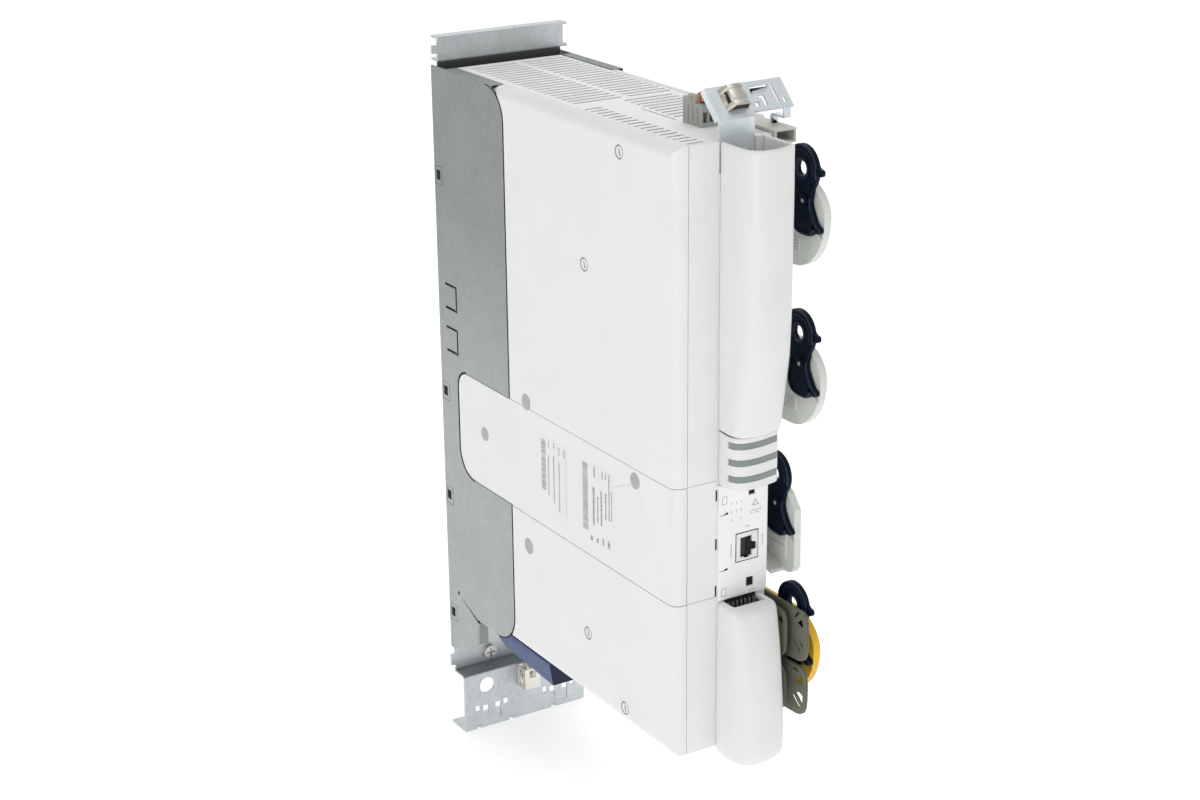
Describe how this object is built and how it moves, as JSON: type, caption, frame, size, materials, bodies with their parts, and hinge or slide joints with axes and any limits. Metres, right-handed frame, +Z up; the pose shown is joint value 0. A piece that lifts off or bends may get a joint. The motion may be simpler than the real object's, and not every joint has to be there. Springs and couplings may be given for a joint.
{
  "type": "servo drive",
  "caption": "Narrow wall-mounted servo drive in a white housing on a folded metal base, with snap-off covers, plug-in modules, ejector levers and cable shield clamps.",
  "frame": {"origin": "middle of the base's lowest rear edge, where the bottom flange meets the mounting wall", "axes": "+X to the right seen from the front, -Y towards the operator, +Y into the mounting wall, +Z up"},
  "size_m": [0.0948, 0.3, 0.4727],
  "materials": {
    "aluminium": "mill finish",
    "bar_grey": "smoked diffuser",
    "beige_plastic": "moulded",
    "black_plastic": "moulded",
    "capacitor_sleeve": "shrink sleeve",
    "copper_core": "wound copper",
    "cover_white": "satin",
    "grey_terminal": "moulded",
    "housing_white": "fine matt moulded texture",
    "lever_navy": "moulded, satin",
    "module_grey": "moulded",
    "orange_plastic": "moulded",
    "pcb_green": "solder mask",
    "plug_dot_grey": "moulded",
    "plug_grey_green": "moulded",
    "release_blue": "moulded",
    "safety_yellow": "moulded",
    "screw_steel": "bright plated",
    "side_zinc": "smooth grey-green galvanised sheet",
    "socket_dark": "moulded with contacts",
    "spring_nickel": "nickel-plated spring steel",
    "zinc_bracket": "bright zinc",
    "zinc_sheet": "galvanised, faint spangle"
  },
  "bodies": {
    "base": {"mounting_base": "zinc_sheet", "side_plate_left": "side_zinc", "side_plate_right": "side_zinc", "base_board": "pcb_green", "base_plug": "black_plastic", "lower_shield_clamp": "spring_nickel", "earth_screw": "screw_steel"},
    "unit": {"shell_left_upper": "housing_white", "shell_left_middle": "housing_white", "shell_left_lower": "housing_white", "shell_right_upper": "housing_white", "shell_right_middle": "housing_white", "shell_right_lower": "housing_white", "front_frame": "housing_white", "top_grille": "housing_white", "bottom_panel": "housing_white", "heatsink": "aluminium", "rear_sheet": "zinc_sheet", "fan_frame": "black_plastic", "power_module": "grey_terminal", "power_board": "pcb_green", "control_board": "pcb_green", "board_spacers": "screw_steel", "dc_link_capacitors": "capacitor_sleeve", "mains_choke": "copper_core", "unit_plug": "black_plastic", "bay_partition": "housing_white", "module_bus_board": "pcb_green", "module_sockets": "black_plastic", "housing_clips": "plug_dot_grey", "cover_plugs": "plug_dot_grey", "display_housing": "cover_white", "status_bars": "bar_grey", "control_panel": "housing_white", "rj45_socket": "socket_dark", "cover_socket": "beige_plastic", "motor_plug": "plug_grey_green", "shield_bracket": "zinc_bracket", "upper_shield_clamp": "spring_nickel", "control_terminal": "grey_terminal", "supply_connector": "beige_plastic", "release_pin": "screw_steel", "bracket_screws": "screw_steel"},
    "fan": {"fan_rotor": "black_plastic"},
    "upper_cover": {"upper_cover": "cover_white"},
    "lower_cover": {"lower_cover": "cover_white"},
    "terminal_lever": {"terminal_lever": "orange_plastic"},
    "module_upper": {"module_upper": "module_grey"},
    "module_second": {"module_second": "module_grey"},
    "memory_module": {"memory_module": "module_grey"},
    "safety_module": {"safety_module": "safety_yellow"},
    "release_lever": {"release_lever": "release_blue"},
    "terminal_plug_upper": {"terminal_plug_upper": "plug_grey_green"},
    "terminal_plug_lower": {"terminal_plug_lower": "plug_grey_green"},
    "ejector_lever_1": {"ejector_lever_1": "lever_navy"},
    "ejector_lever_2": {"ejector_lever_2": "lever_navy"},
    "ejector_lever_3": {"ejector_lever_3": "lever_navy"},
    "ejector_lever_4": {"ejector_lever_4": "lever_navy"}
  },
  "joints": [
    {"name": "unit_slide", "type": "slide", "parent": "base", "child": "unit", "axis": [0, -1, 0], "range_m": [0, 0.08]},
    {"name": "release_lever_hinge", "type": "hinge", "parent": "unit", "child": "release_lever", "pos_m": [0, -0.065, 0.0909], "axis": [1, 0, 0], "range_deg": [0, 50]},
    {"name": "fan_spin", "type": "hinge", "parent": "unit", "child": "fan", "pos_m": [0, -0.054, 0.1155], "axis": [0, 0, 1], "continuous": true},
    {"name": "upper_cover_slide", "type": "slide", "parent": "unit", "child": "upper_cover", "axis": [0, -1, 0], "range_m": [0, 0.04]},
    {"name": "lower_cover_slide", "type": "slide", "parent": "unit", "child": "lower_cover", "axis": [0, -1, 0], "range_m": [0, 0.04]},
    {"name": "terminal_lever_hinge", "type": "hinge", "parent": "unit", "child": "terminal_lever", "pos_m": [0.0017, -0.2276, 0.4597], "axis": [1, 0, 0], "range_deg": [-60, 0]},
    {"name": "module_upper_slide", "type": "slide", "parent": "unit", "child": "module_upper", "axis": [0, -1, 0], "range_m": [0, 0.05]},
    {"name": "ejector_1_hinge", "type": "hinge", "parent": "module_upper", "child": "ejector_lever_1", "pos_m": [0.02875, -0.2818, 0.411], "axis": [1, 0, 0], "range_deg": [0, 40]},
    {"name": "module_second_slide", "type": "slide", "parent": "unit", "child": "module_second", "axis": [0, -1, 0], "range_m": [0, 0.05]},
    {"name": "ejector_2_hinge", "type": "hinge", "parent": "module_second", "child": "ejector_lever_2", "pos_m": [0.02875, -0.2818, 0.3205], "axis": [1, 0, 0], "range_deg": [0, 40]},
    {"name": "memory_module_slide", "type": "slide", "parent": "unit", "child": "memory_module", "axis": [0, -1, 0], "range_m": [0, 0.05]},
    {"name": "ejector_3_hinge", "type": "hinge", "parent": "memory_module", "child": "ejector_lever_3", "pos_m": [0.02875, -0.2625, 0.233], "axis": [1, 0, 0], "range_deg": [0, 40]},
    {"name": "safety_module_slide", "type": "slide", "parent": "unit", "child": "safety_module", "axis": [0, -1, 0], "range_m": [0, 0.05]},
    {"name": "ejector_4_hinge", "type": "hinge", "parent": "safety_module", "child": "ejector_lever_4", "pos_m": [0.02875, -0.2818, 0.1605], "axis": [1, 0, 0], "range_deg": [0, 40]},
    {"name": "terminal_plug_upper_slide", "type": "slide", "parent": "safety_module", "child": "terminal_plug_upper", "axis": [0, -1, 0], "range_m": [0, 0.02]},
    {"name": "terminal_plug_lower_slide", "type": "slide", "parent": "safety_module", "child": "terminal_plug_lower", "axis": [0, -1, 0], "range_m": [0, 0.02]}
  ]
}
